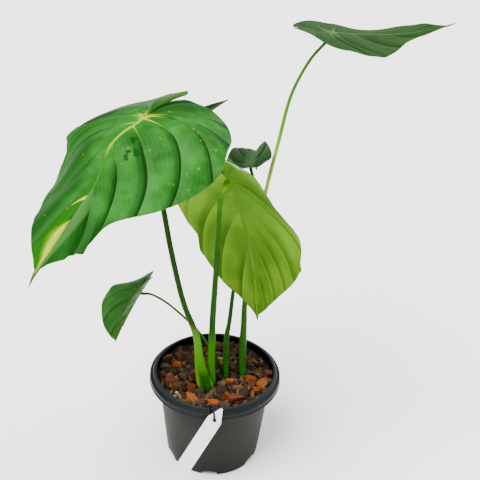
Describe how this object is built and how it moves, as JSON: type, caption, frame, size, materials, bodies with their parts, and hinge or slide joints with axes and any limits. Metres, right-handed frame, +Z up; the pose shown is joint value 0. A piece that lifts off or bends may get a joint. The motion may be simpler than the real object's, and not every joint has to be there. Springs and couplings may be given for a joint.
{
  "type": "potted philodendron pastazanum",
  "caption": "Young heart-leaved philodendron in a round black nursery pot of chunky bark mix, with a blank white stake label wired to the rim.",
  "frame": {"origin": "centre of the pot's flat base, on the ground", "axes": "+Z up along the pot's axis, +X right and +Y away from the viewer as the plant is seen from the front"},
  "size_m": [0.3736, 0.2573, 0.4595],
  "materials": {
    "pot": "satin",
    "bark_mix": "matte",
    "rhizome": "matte",
    "stalk_1": "satin",
    "stalk_2": "satin",
    "stalk_3": "satin",
    "stalk_4": "satin",
    "stalk_5": "satin",
    "stalk_6": "satin",
    "leaf_1": "satin",
    "leaf_2": "satin",
    "leaf_3": "satin",
    "leaf_4": "satin",
    "leaf_5": "satin",
    "leaf_6": "satin",
    "label": "satin",
    "wire": "satin"
  },
  "bodies": {
    "root": {"pot": "pot", "potting_mix": "bark_mix", "rhizome": "rhizome", "plant_label": "label", "label_tie": "wire", "petiole_1": "stalk_1", "blade_1": "leaf_1", "petiole_2": "stalk_2", "blade_2": "leaf_2", "petiole_3": "stalk_3", "blade_3": "leaf_3", "petiole_4": "stalk_4", "blade_4": "leaf_4", "petiole_5": "stalk_5", "blade_5": "leaf_5", "petiole_6": "stalk_6", "blade_6": "leaf_6"}
  },
  "joints": []
}
